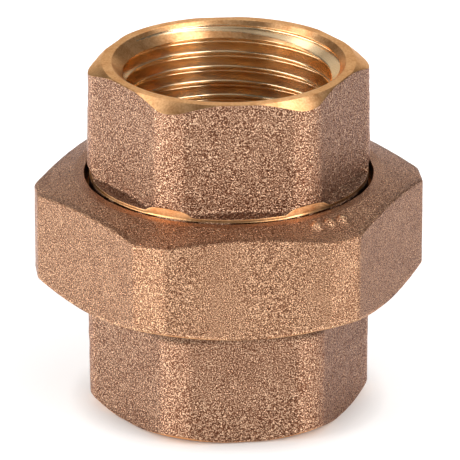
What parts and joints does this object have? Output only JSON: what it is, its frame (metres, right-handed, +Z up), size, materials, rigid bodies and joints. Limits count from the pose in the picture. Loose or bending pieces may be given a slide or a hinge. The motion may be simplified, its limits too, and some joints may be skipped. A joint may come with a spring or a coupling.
{
  "type": "pipe union",
  "caption": "Hexagonal cast bronze pipe union with a female pipe thread at each end, a flat gasket, and a union nut that draws the two ends together.",
  "frame": {"origin": "centre of the lower port's face, which the union stands on", "axes": "+Z up the pipe's axis towards the tail piece; -Y out of one flat of the lower end's hexagon; +X towards one corner of it"},
  "size_m": [0.0572, 0.052, 0.0526],
  "materials": {
    "cast_bronze": "sand-cast bronze, rough and sparkling, with smooth turned rings and threads",
    "nut_bronze": "sand-cast bronze with a finer grain, smooth turned foot and threads",
    "gasket_rubber": "matt black rubber"
  },
  "bodies": {
    "lower_end": {"lower_end": "cast_bronze"},
    "gasket": {"gasket": "gasket_rubber"},
    "tail_piece": {"tail_piece": "cast_bronze"},
    "union_nut": {"union_nut": "nut_bronze"}
  },
  "joints": [
    {"name": "union_lift", "type": "slide", "parent": "lower_end", "child": "gasket", "axis": [0, 0, 1], "range_m": [0, 0.00694]},
    {"name": "nut_turn", "type": "hinge", "parent": "gasket", "child": "union_nut", "pos_m": [0, 0, 0.027], "axis": [0, 0, 1], "range_deg": [0, 1080]},
    {"name": "tail_swivel", "type": "hinge", "parent": "gasket", "child": "tail_piece", "pos_m": [0, 0, 0.03], "axis": [0, 0, 1], "continuous": true}
  ],
  "couplings": [
    {"joint": "union_lift", "follows": "nut_turn", "m_per_rad": 0.0003675}
  ]
}
